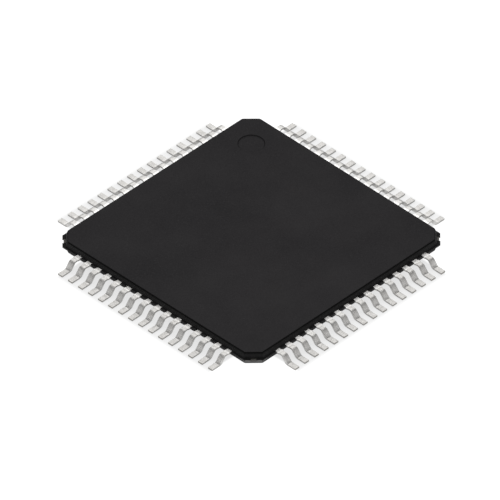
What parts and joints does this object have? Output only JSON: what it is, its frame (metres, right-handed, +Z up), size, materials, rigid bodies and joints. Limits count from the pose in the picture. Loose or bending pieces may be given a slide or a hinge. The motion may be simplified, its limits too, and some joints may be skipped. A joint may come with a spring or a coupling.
{
  "type": "quad flat pack video output chip",
  "caption": "Square flat moulded chip with gull-wing leads on all four sides, which turns digital picture data into a video output signal on a circuit board.",
  "frame": {"origin": "the centre of the seating plane, under the feet of the leads", "axes": "+Z up, out of the marked face; the sides of the body run along X and Y; pin 1 is at the -X +Y corner and the pins count against the clock seen from above"},
  "size_m": [0.012, 0.012, 0.0011],
  "materials": {
    "mould_compound": "fine matte, black epoxy",
    "tinned_leads": "matte tin plating",
    "lead_frame_metal": "bare iron-nickel strip",
    "silver_adhesive": "silver-filled epoxy",
    "silicon": "polished silicon",
    "gold_wire": "drawn gold"
  },
  "bodies": {
    "root": {"body": "mould_compound", "leads_01_17_33_49": "tinned_leads", "leads_02_18_34_50": "tinned_leads", "leads_03_19_35_51": "tinned_leads", "leads_04_20_36_52": "tinned_leads", "leads_05_21_37_53": "tinned_leads", "leads_06_22_38_54": "tinned_leads", "leads_07_23_39_55": "tinned_leads", "leads_08_24_40_56": "tinned_leads", "leads_09_25_41_57": "tinned_leads", "leads_10_26_42_58": "tinned_leads", "leads_11_27_43_59": "tinned_leads", "leads_12_28_44_60": "tinned_leads", "leads_13_29_45_61": "tinned_leads", "leads_14_30_46_62": "tinned_leads", "leads_15_31_47_63": "tinned_leads", "leads_16_32_48_64": "tinned_leads", "die_pad": "lead_frame_metal", "die_attach": "silver_adhesive", "die": "silicon", "bond_wires_01_17_33_49": "gold_wire", "bond_wires_02_18_34_50": "gold_wire", "bond_wires_03_19_35_51": "gold_wire", "bond_wires_04_20_36_52": "gold_wire", "bond_wires_05_21_37_53": "gold_wire", "bond_wires_06_22_38_54": "gold_wire", "bond_wires_07_23_39_55": "gold_wire", "bond_wires_08_24_40_56": "gold_wire", "bond_wires_09_25_41_57": "gold_wire", "bond_wires_10_26_42_58": "gold_wire", "bond_wires_11_27_43_59": "gold_wire", "bond_wires_12_28_44_60": "gold_wire", "bond_wires_13_29_45_61": "gold_wire", "bond_wires_14_30_46_62": "gold_wire", "bond_wires_15_31_47_63": "gold_wire", "bond_wires_16_32_48_64": "gold_wire"}
  },
  "joints": []
}
